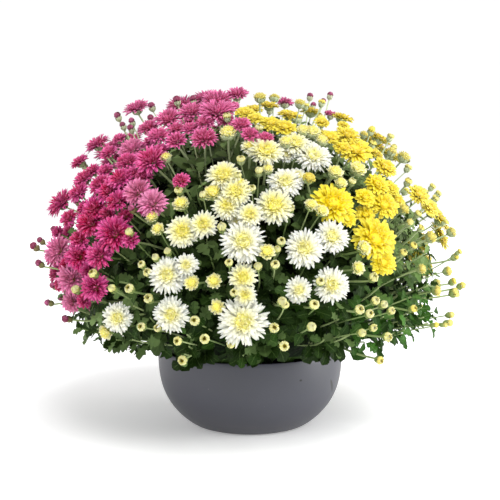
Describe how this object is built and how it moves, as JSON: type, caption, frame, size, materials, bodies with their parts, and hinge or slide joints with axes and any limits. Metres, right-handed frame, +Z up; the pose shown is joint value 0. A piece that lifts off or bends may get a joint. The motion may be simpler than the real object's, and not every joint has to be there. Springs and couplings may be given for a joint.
{
  "type": "pot chrysanthemum",
  "caption": "Potted garden chrysanthemum: a dome of magenta, cream and yellow double blooms over leafy stems, standing in a round plastic bowl of soil.",
  "frame": {"origin": "centre of the bowl's flat base, on the surface that it stands on", "axes": "+Z up along the bowl's axis; -Y is the front, where the cream flowers grow between magenta on the left (-X) and yellow on the right (+X)"},
  "size_m": [0.523, 0.5323, 0.4197],
  "materials": {
    "bowl": "matte anthracite grey, a soft broad sheen",
    "soil": "rough dark peat",
    "leaf": "matte dark green leaves, paler green stems and buds",
    "petal_magenta": "soft matte petals, paler reverses",
    "petal_cream": "soft matte petals, yellow-green hearts",
    "petal_yellow": "soft matte petals"
  },
  "bodies": {
    "root": {"bowl": "bowl", "soil": "soil", "magenta_leafy_stem_1": "leaf", "magenta_leafy_stem_2": "leaf", "cream_leafy_stem_1": "leaf", "yellow_leafy_stem_1": "leaf", "yellow_leafy_stem_2": "leaf", "magenta_leafy_stem_3": "leaf", "cream_leafy_stem_2": "leaf", "yellow_leafy_stem_3": "leaf", "magenta_leafy_stem_4": "leaf", "yellow_leafy_stem_4": "leaf", "cream_blooms_1": "petal_cream", "magenta_blooms_1": "petal_magenta", "magenta_blooms_2": "petal_magenta", "magenta_blooms_3": "petal_magenta", "magenta_blooms_4": "petal_magenta", "magenta_blooms_5": "petal_magenta", "cream_blooms_2": "petal_cream", "yellow_blooms_1": "petal_yellow", "yellow_blooms_2": "petal_yellow", "magenta_blooms_6": "petal_magenta", "magenta_blooms_7": "petal_magenta", "yellow_blooms_3": "petal_yellow", "magenta_blooms_8": "petal_magenta", "yellow_blooms_4": "petal_yellow", "magenta_blooms_9": "petal_magenta", "yellow_blooms_5": "petal_yellow", "magenta_blooms_10": "petal_magenta", "cream_blooms_3": "petal_cream", "magenta_blooms_11": "petal_magenta", "magenta_blooms_12": "petal_magenta", "magenta_blooms_13": "petal_magenta", "cream_blooms_4": "petal_cream", "cream_blooms_5": "petal_cream", "magenta_blooms_14": "petal_magenta", "yellow_blooms_6": "petal_yellow", "cream_blooms_6": "petal_cream", "magenta_blooms_15": "petal_magenta", "yellow_blooms_7": "petal_yellow", "yellow_blooms_8": "petal_yellow", "magenta_blooms_16": "petal_magenta", "yellow_blooms_9": "petal_yellow", "yellow_blooms_10": "petal_yellow", "cream_blooms_7": "petal_cream", "magenta_blooms_17": "petal_magenta", "magenta_blooms_18": "petal_magenta", "magenta_blooms_19": "petal_magenta", "magenta_blooms_20": "petal_magenta", "magenta_blooms_21": "petal_magenta", "magenta_blooms_22": "petal_magenta", "magenta_blooms_23": "petal_magenta", "yellow_blooms_11": "petal_yellow", "yellow_blooms_12": "petal_yellow", "yellow_blooms_13": "petal_yellow", "magenta_blooms_24": "petal_magenta", "cream_blooms_8": "petal_cream", "cream_blooms_9": "petal_cream", "magenta_blooms_25": "petal_magenta", "magenta_blooms_26": "petal_magenta"}
  },
  "joints": []
}
